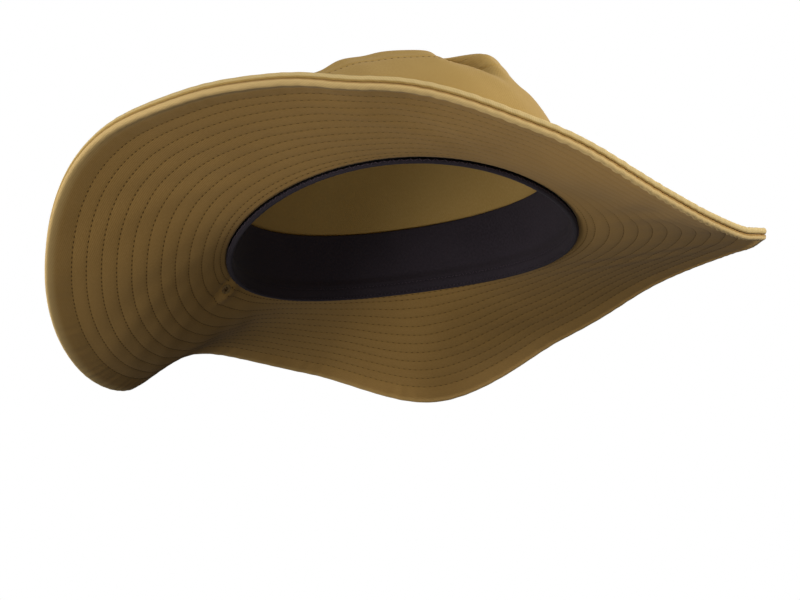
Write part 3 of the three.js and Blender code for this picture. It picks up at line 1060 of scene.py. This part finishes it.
    def gathers(self, azimuth: Array, reach: Array) -> Array:
        """Small folds that the rows of stitches draw into the cloth, and the roll's scallops."""
        fading, ended = self.gather_reaches
        window = smooth_step(reach, self.last_row - self.margin_rise, self.last_row + self.margin_rise)
        window *= smooth_step(reach, ended, fading)
        seed = 21 if self.face is Face.UPPER else 34
        folds = self.gather * waves(azimuth, (97, 118, 139, 163), seed) * (self.gather_inside + window)
        start, end = self.rope_span
        along_roll = np.clip((reach - self.roll_start) / (self.nose_start - self.roll_start), start, end)
        rope = self.scallop_depth * np.sin(math.pi * (along_roll - start) / (end - start))
        rope *= 1 if self.face is Face.UNDER else self.upper_scallop_share
        return folds + rope * self.scallop_at(azimuth, along_roll)

    def shape(self, azimuth: Array, reach: Array, lift: Array) -> Array:
        """Points of the ply, gathers included, from a lift on its own side."""
        open_side = smooth_step(lift, self.seam_gap, self.seam_gap + self.folded_depth)
        lift = lift + (self.gathers(azimuth, reach) + self.loosened(azimuth, reach)) * open_side
        return self.form.brim(azimuth, self.drifted(azimuth, reach), self.face.value * lift)

    def worn(self, azimuth: Array, rub: Array) -> Array:
        """How pale the edge is painted, partly as wear and partly as painted light on the roll's shaded
        flank: up to its stitches where the roll is firm, else fading inwards.
        """
        firm = hold_at(azimuth, "firmness")
        return hold_at(azimuth, "wear_and_painted_light") * smooth_step(rub, self.wear_and_painted_light_start * firm, 1 - self.wear_and_painted_light_end * firm)

    def on_cloth(self, reach: float) -> Callable[[Array, Array], Array]:
        """A line round the open face at one reach, for sewing."""

        def line(azimuth: Array, lift: Array) -> Array:
            """Points of the line."""
            sunk = lift - hold_at(azimuth, "buried")
            return self.shape(azimuth, reach + 0 * azimuth, self.surface_lift(reach) + sunk)

        return line

    def open_reaches(self) -> Array:
        """Reaches of the open face's cuts: on each row, close beside it, and a few in between."""
        beside = self.row_pitch * np.array([0, 0.08, 0.3, 0.5, 0.7, 0.92])
        rows = (self.row_pitch * np.arange(1, self.rows)[:, None] + beside).ravel()
        seam = self.seam_row + np.array([-2.4, -1.2, -0.4, 0, 0.4, 1.2, 2.2, 3.2])
        margin = self.last_row + np.array([0, 0.5, 2.0, 4.5, 6.4, 7.2])
        rounding = 1 - np.cos(np.radians(np.linspace(0, 90, 9)[:-1]))
        roll = self.roll_start + (self.nose_start - self.roll_start) * rounding
        return np.concatenate([[self.inner_edge], seam, rows, margin, roll])

    def section(self) -> ClothSection:
        """Outline of the ply: hidden face outwards, round the edge, and back along the open face."""
        near, foot = self.seam_gap / 2, self.nose_gap / 2
        nose = (near + self.roll - foot) / 2
        hidden = np.array([self.inner_edge, 20, 40, 60, 79])
        turn = np.radians(np.linspace(-90, 90, 11))
        out = np.cos(turn) ** np.where(turn < 0, self.corner, 1)
        opened = self.open_reaches()[::-1]
        along = np.concatenate([hidden, self.nose_start + nose * out, opened])
        round_edge = foot + nose * (1 + np.sin(turn))
        lift = np.concatenate([0 * hidden + near, round_edge, self.surface_lift(opened)])
        on_open = np.concatenate([0 * hidden, 0 * turn, 0 * opened + 1])
        near_edge = (along > self.roll_start - self.fine_before_roll) & (lift > self.seam_gap)
        fade_start = self.roll_start - self.fade
        return ClothSection.through(
            along,
            lift,
            # Painted shade along the stitched furrows.
            furrow=self.furrow_at(along) * on_open,
            # The edge painted pale, partly as wear and partly as painted light.
            rub=np.clip((along - fade_start) / (self.form.brim_width - fade_start), 0, 1) * (lift > 1),
            fine=near_edge.astype(float),
        )

    def build(self) -> bpy.types.Object:
        """Cuts, bends and sews up the ply."""
        radius = (self.form.opening_half_width + self.form.opening_half_length) / 2
        pattern = ring_pattern(radius)
        return cloth_piece(self.name, self.columns, self.section(), self.shape, pattern, self.worn)

    def stitching(self) -> bpy.types.Object:
        """The rows of stitches on the ply's open face, broken where the eyelet's flange lies."""
        rows = [self.on_cloth(reach) for reach in self.row_reaches]
        stitch = Stitch(length=1.7, width=0.7, height=0.35, period=3.0)
        clearing = (self.form.brim_middle(*self.form.eyelet_place), self.form.eyelet_clearing)
        return sew(f"{self.name}_stitching", rows, stitch, clearing=clearing)

    def edge_stitching(self) -> bpy.types.Object:
        """The row that holds the roll down, one stitch to a scallop; it shows on the upper ply only."""
        rows = [self.on_cloth(self.roll_start)]
        return sew(f"{self.name}_edge_stitching", rows, Stitch(length=2.2), self.scallops)


@dataclass(frozen=True)
class CrownBand:
    """The crown's side, from the brim to the top seam, with the seam's edge stitched down along it."""

    form: HatForm = HatForm()
    thickness: float = 1.3
    seam_share: float = 0.001
    stitch_place: float = 3.5
    stitch_depth: float = 0.15
    furrow_width: float = 0.07
    seam_swell: float = 0.35
    swell_width: float = 0.15
    turn_in: float = 0.3
    turn_in_width: float = 0.06
    fold_depth: float = 0.25
    fold_azimuths: tuple[float, float, float, float] = (40.0, 46.0, 86.0, 96.0)
    columns: int = 480

    def outer_lift(self, place: Array) -> Array:
        """Height of the open face above the middle of the cloth."""
        fold = self.seam_swell * smooth_step(place, self.stitch_place, self.stitch_place + self.swell_width)
        return self.thickness / 2 + fold - self.stitch_depth * self.furrow_at(place) - self.turned_in(place)

    def furrow_at(self, place: Array) -> Array:
        """1 on the topstitched row, 0 away from it."""
        return bell(np.asarray(place) - self.stitch_place, self.furrow_width)

    def turned_in(self, place: Array) -> Array:
        """How far the cloth turns down into the top seam."""
        below = np.clip(TOP_SEAM - self.seam_share - place, 0, None)
        return self.turn_in * np.exp(-below / self.turn_in_width)

    def section(self) -> ClothSection:
        """Outline of the band: up its outside, over its top and down its inside."""
        top = TOP_SEAM - self.seam_share
        row = self.stitch_place + np.array([-0.16, -0.09, -0.04, 0, 0.04, 0.09, 0.16])
        outside = np.concatenate([np.linspace(0, 3.25, 34), row, np.linspace(3.75, top, 22)])
        inside = np.linspace(top, 0, 24)
        along = np.concatenate([outside, inside])
        lift = np.concatenate([self.outer_lift(outside), 0 * inside - self.thickness / 2])
        # Painted shade along the topstitched row.
        furrow = np.concatenate([0.4 * self.furrow_at(outside), 0 * inside])
        return ClothSection.through(along, lift, crown_run(self.form, along), furrow)

    def build(self) -> bpy.types.Object:
        """Cuts, bends and sews up the band."""
        pattern = strip_pattern(2 * math.pi * self.form.opening_half_width)
        return cloth_piece("crown_band", self.columns, self.section(), self.form.crown, pattern)

    def stitching(self) -> bpy.types.Object:
        """The topstitching under the top seam."""

        def row(azimuth: Array, lift: Array) -> Array:
            """Line round the band at the stitches' place, sunk in the folds beside the pinch."""
            place = self.stitch_place + 0 * azimuth
            start, full, fading, end = self.fold_azimuths
            sunk = self.fold_depth * smooth_step(azimuth, start, full) * smooth_step(azimuth, end, fading)
            return self.form.crown(azimuth, place, self.outer_lift(place) - sunk + lift)

        return sew("top_seam_stitching", [row], Stitch(length=1.3, width=0.45, period=2.9))


def crown_run(form: HatForm, along: Array) -> Array:
    """Length of cloth walked at the front of the crown, for the weave."""
    return walked(form.crown_smooth(0 * along, along))


@dataclass(frozen=True)
class CrownTip:
    """The crown's top panel, domed over the head and turned in at the top seam."""

    form: HatForm = HatForm()
    thickness: float = 1.3
    seam_share: float = 0.001
    turn_in: float = 0.3
    turn_in_width: float = 0.05
    columns: int = 360

    def section(self) -> ClothSection:
        """Outline of the panel: out along its underside and back over its top, from pole to pole."""
        edge = TOP_SEAM + self.seam_share
        under = np.linspace(TIP_CENTRE, edge, 20)
        over = edge + (TIP_CENTRE - edge) * np.linspace(0, 1, 40) ** 1.5
        along = np.concatenate([under, over])
        turned = self.turn_in * np.exp(-(over - edge) / self.turn_in_width)
        lift = np.concatenate([0 * under - self.thickness / 2, 0 * over + self.thickness / 2 - turned])
        return ClothSection.through(along, lift, crown_run(self.form, along))

    def build(self) -> bpy.types.Object:
        """Cuts and domes the panel."""
        return cloth_piece("crown_tip", self.columns, self.section(), self.form.crown, ring_pattern(0))


@dataclass(frozen=True)
class Sweatband:
    """Dark tape inside the head opening, turned up to a thick hem that hangs just below the brim."""

    form: HatForm = HatForm()
    thickness: float = 1.2
    hem: float = 2.8
    bottom: float = -5.4
    hem_top: float = 1.0
    thin_from: float = 6.0
    top: float = 28.0
    clearance: float = 1.3
    columns: int = 480
    stitch_rises: tuple[float, float] = (-4.3, 0.6)
    stitch_depth: float = 0.25
    furrow_width: float = 0.6
    fold_height: float = 1.2
    groove: float = 0.9
    groove_bottom: float = -4.1
    groove_top: float = -0.9

    def groove_at(self, rise: Array) -> Array:
        """1 in the groove that the hem's fold leaves under the brim, on the tape's back, where the
        tape is also painted near black as shadow.
        """
        low = smooth_step(rise, self.groove_bottom, self.groove_bottom + 0.5)
        return low * smooth_step(rise, self.groove_top, self.groove_top - 0.5)

    def depth(self, rise: Array) -> Array:
        """Depth of the tape's open face inside the crown's middle surface."""
        thick = (self.hem - self.thickness) * smooth_step(rise, self.thin_from, self.hem_top)
        return self.clearance + self.thickness + thick - self.stitch_depth * self.furrow_at(rise)

    def furrow_at(self, rise: Array) -> Array:
        """1 on a stitched row, 0 away from them."""
        return bell(from_nearest(rise, self.stitch_rises), self.furrow_width)

    def section(self) -> ClothSection:
        """Outline of the tape: up its back, over its top, down its inside and round its fold."""
        grooved = np.linspace(self.groove_bottom, self.groove_top, 9)
        folded, edge = self.bottom + self.fold_height, self.top - 0.4
        back = np.concatenate([[folded], grooved, np.linspace(0, edge, 14)])
        inside = np.linspace(edge, folded, 44)
        fold = np.radians(np.linspace(0, 180, 9)[1:-1])
        middle = self.clearance + self.hem / 2
        rises = np.concatenate([back, [self.top], inside, folded - self.fold_height * np.sin(fold)])
        lift = -np.concatenate(
            [self.clearance + self.groove * self.groove_at(back)]
            + [[self.clearance + self.thickness / 2], self.depth(inside)]
            + [middle + self.hem / 2 * np.cos(fold)]
        )
        on_back = np.arange(len(rises)) < len(back)
        # Painted shadow, near black, in the groove under the brim, and painted shade along the stitched rows.
        marks = np.where(on_back, self.groove_at(rises), 0.4 * self.furrow_at(rises))
        run = walked(np.stack([rises, lift], -1))
        return ClothSection.through(self.form.place_at_rise(rises), lift, run, marks)

    def shape(self, azimuth: Array, place: Array, lift: Array) -> Array:
        """Points of the tape, which keeps clear of the crown's ripples."""
        return offset_from(self.form.crown_middle, azimuth, place, lift)

    def build(self) -> bpy.types.Object:
        """Bends the tape round the opening and sews it up."""
        pattern = strip_pattern(2 * math.pi * self.form.opening_half_width)
        return cloth_piece("sweatband", self.columns, self.section(), self.shape, pattern)

    def row(self, rise: float, outside: bool) -> Callable[[Array, Array], Array]:
        """A line round one face of the tape at a rise, for sewing."""
        place = self.form.place_at_rise(rise)

        def line(azimuth: Array, lift: Array) -> Array:
            """Points of the line."""
            inwards = self.clearance - lift if outside else self.depth(rise) + lift
            return self.shape(azimuth, place + 0 * azimuth, -inwards + 0 * azimuth)

        return line

    def stitching(self) -> bpy.types.Object:
        """Zigzag rows that hold the hem, seen on both faces of the tape."""
        rows = [self.row(self.stitch_rises[0], outside=True)]
        rows += [self.row(rise, outside=False) for rise in self.stitch_rises]
        zigzag = Stitch(length=2.1, width=0.36, height=0.3, period=1.9, slant=38, wander=14)
        return sew("sweatband_stitching", rows, zigzag)


@dataclass(frozen=True)
class Eyelet:
    """A pressed metal eyelet through both plies, a rolled flange on each face."""

    form: HatForm = HatForm()
    hole: float = 1.0
    barrel: float = 1.9
    flange: float = 2.5
    flange_height: float = 0.6
    seat: float = 1.7
    underside: float = 0.8
    cut: float = 2.1
    cut_depth: float = 12.0
    columns: int = 40

    def matrix(self) -> Matrix:
        """Place and turn of the eyelet, from its own Z axis to the brim."""
        centre, above = (Vector(self.form.brim(*self.form.eyelet_place, lift) * MM) for lift in (0.0, 1.0))
        turn = (above - centre).to_track_quat("Z", "Y").to_matrix().to_4x4()
        return Matrix.Translation(centre) @ turn

    def outline(self) -> list[tuple[float, float]]:
        """Half section of the eyelet: up through the hole, over one flange and round the other."""
        roll = self.flange_height / 2
        inner, outer, under = self.hole + roll, self.flange - roll, self.seat - roll * self.underside
        quarter = [(roll * math.cos(turn), self.seat + roll * math.sin(turn)) for turn in (0, 0.7, 1.5)]
        upper = [(inner - out, height) for out, height in quarter]
        upper += [(outer + out, height) for out, height in reversed(quarter)]
        upper += [(outer, under), (self.barrel, under)]
        lower = [(radius, -height) for radius, height in reversed(upper)]
        return [*upper, *lower]

    def build(self) -> bpy.types.Object:
        """Rolls a sheet round the half section and bends it about the eyelet's axis."""
        outline = np.array(self.outline())
        piece = flat_grid("side_eyelet_ring", self.columns, len(outline))
        around, index = grid_places(piece.data, len(outline))
        radius, height = outline[index % len(outline)].T
        turn = np.radians(around)
        close_up(piece, np.stack([radius * np.cos(turn), radius * np.sin(turn), height], -1) * MM)
        piece.data.transform(self.matrix())
        return piece

    def punch(self, ply: bpy.types.Object) -> None:
        """Cuts the eyelet's hole through a ply."""
        deselect()
        bpy.ops.mesh.primitive_cylinder_add(vertices=32, radius=self.cut * MM, depth=self.cut_depth * MM)
        punch = bpy.context.active_object
        punch.data.transform(self.matrix())
        pick(ply)
        cut = ply.modifiers.new("eyelet_hole", "BOOLEAN")
        cut.object, cut.operation, cut.solver = punch, "DIFFERENCE", "EXACT"
        bpy.ops.object.modifier_apply(modifier=cut.name)
        bpy.data.objects.remove(punch)


# ---- studio ----


def direction(azimuth: float, elevation: float) -> Vector:
    """Unit vector out from the hat, at degrees round from its front and degrees above level."""
    around, up = math.radians(azimuth), math.radians(elevation)
    return Vector((math.sin(around) * math.cos(up), -math.cos(around) * math.cos(up), math.sin(up)))


def set_up(name: str, data: bpy.types.ID) -> bpy.types.Object:
    """Puts a light or the camera in the studio."""
    thing = bpy.data.objects.new(name, data)
    bpy.context.scene.collection.objects.link(thing)
    return thing


@dataclass(frozen=True)
class SoftBox:
    """A square studio light that looks at the hat. Sizes in metres, angles in degrees."""

    name: str
    azimuth: float
    elevation: float
    distance: float
    side: float
    power: float
    spread: float = 180.0

    def place(self) -> None:
        """Hangs the light and turns it to the hat."""
        light = bpy.data.lights.new(self.name, "AREA")
        light.shape, light.size, light.energy = "SQUARE", self.side, self.power
        light.spread = math.radians(self.spread)
        lamp = set_up(self.name, light)
        lamp.visible_camera = False
        back = direction(self.azimuth, self.elevation)
        lamp.location = back * self.distance
        lamp.rotation_mode = "QUATERNION"
        lamp.rotation_quaternion = (-back).to_track_quat("-Z", "Y")


@dataclass(frozen=True)
class Studio:
    """Plain pale studio: a floor far below the held hat, soft light, and the camera low in front."""

    camera_mm: tuple[float, float, float] = (59.5, -950.3, -305.5)
    heading: float = -3.835
    pitch: float = 16.135
    roll: float = -6.434
    lens: float = 95.6
    sensor: float = 36.0
    floor_drop: float = 1.6
    floor_radius: float = 14.0
    floor_light: float = 3.6
    floor_light_angle: float = 40.0
    surround: float = 0.013
    lights: tuple[SoftBox, ...] = (
        SoftBox("key_light", azimuth=70, elevation=16, distance=2.4, side=1.2, power=5.9, spread=50),
        SoftBox("side_light", azimuth=-75, elevation=15, distance=2.4, side=1.2, power=3.6, spread=50),
        SoftBox("left_fill", azimuth=-50, elevation=-20, distance=1.5, side=0.8, power=1.22, spread=60),
        SoftBox("near_fill", azimuth=12, elevation=-40, distance=0.36, side=0.2, power=0.066, spread=90),
        SoftBox("top_light", azimuth=-20, elevation=65, distance=2.2, side=1.4, power=0.9, spread=60),
        SoftBox("back_light", azimuth=155, elevation=30, distance=2.4, side=1.4, power=3.4, spread=60),
    )

    def place_camera(self) -> None:
        """Puts the camera in front of the hat and below its brim, looking up under it."""
        lens = bpy.data.cameras.new("camera")
        lens.lens, lens.sensor_width, lens.sensor_fit = self.lens, self.sensor, "HORIZONTAL"
        camera = set_up("camera", lens)
        level = direction(180 - self.heading, self.pitch).to_track_quat("-Z", "Y").to_matrix()
        camera.location = Vector(self.camera_mm) * MM
        camera.rotation_euler = (level @ Matrix.Rotation(math.radians(self.roll), 3, "Z")).to_euler()
        bpy.context.scene.camera = camera

    def lay_floor(self) -> None:
        """Lays a round pale floor, far enough down for the hat to be held up at a head's height."""
        deselect()
        bpy.ops.mesh.primitive_circle_add(
            vertices=96, radius=self.floor_radius, fill_type="NGON", location=(0, 0, -self.floor_drop)
        )
        floor = named("floor")
        floor.data.materials.append(FloorPaint("matt_white_floor_paint").material())
        self.light_floor(floor)

    def light_floor(self, floor: bpy.types.Object) -> None:
        """Gives the floor a soft sun of its own, which neither reaches the hat nor comes back up to it."""
        sun = bpy.data.lights.new("floor_light", "SUN")
        sun.energy, sun.angle = self.floor_light, math.radians(self.floor_light_angle)
        lamp = set_up("floor_light", sun)
        lit = bpy.data.collections.new("lit_by_floor_light")
        lit.objects.link(floor)
        lamp.light_linking.receiver_collection = lit
        floor.visible_diffuse = floor.visible_glossy = False

    def light(self) -> None:
        """Soft boxes, and a white surround that lights the hat less than it looks."""
        for box in self.lights:
            box.place()
        world = bpy.data.worlds.new("studio")
        bpy.context.scene.world = world
        world.use_nodes = True
        tree = world.node_tree
        tree.nodes.clear()
        seen = add_node(tree, "ShaderNodeLightPath").outputs["Is Camera Ray"]
        levels = {"Value": seen, "To Min": self.surround, "To Max": 1.0}
        strength = add_node(tree, "ShaderNodeMapRange", levels).outputs["Result"]
        white = add_node(tree, "ShaderNodeBackground", {"Color": colour("#ffffff"), "Strength": strength})
        add_node(tree, "ShaderNodeOutputWorld", {"Surface": white.outputs["Background"]})
        bpy.context.scene.view_settings.view_transform = "Standard"


def main() -> None:
    """Builds the studio and the hat, piece by piece."""
    logging.basicConfig(level=logging.INFO, format="%(message)s")
    studio = Studio()
    studio.place_camera()
    studio.light()
    studio.lay_floor()
    form, finishes = HatForm(), Wardrobe()
    # The underside's twill is the outer twill painted darker, as painted shade.
    outer, under = finishes.outer.material(), finishes.under.material()
    thread = finishes.thread.material()
    eyelet = Eyelet(form)
    for face, cloth, slot in ((Face.UPPER, outer, "khaki_twill"), (Face.UNDER, under, "khaki_underside")):
        ply = BrimPly(face, form)
        piece = ply.build()
        eyelet.punch(piece)
        finish_piece(piece, cloth, slot, ply.name)
        finish_piece(ply.stitching(), thread, slot)
        if face is Face.UPPER:
            finish_piece(ply.edge_stitching(), thread, slot)
    band = CrownBand(form)
    finish_piece(band.build(), outer, "khaki_twill", "crown_band")
    finish_piece(band.stitching(), thread, "khaki_twill")
    finish_piece(CrownTip(form).build(), outer, "khaki_twill", "crown_tip")
    tape = Sweatband(form)
    finish_piece(tape.build(), finishes.band.material(), "charcoal_band", "sweatband")
    finish_piece(tape.stitching(), finishes.band_thread.material(), "charcoal_band")
    finish_piece(eyelet.build(), finishes.brass.material(), "dark_brass", "side_eyelet")


if __name__ == "__main__":
    main()
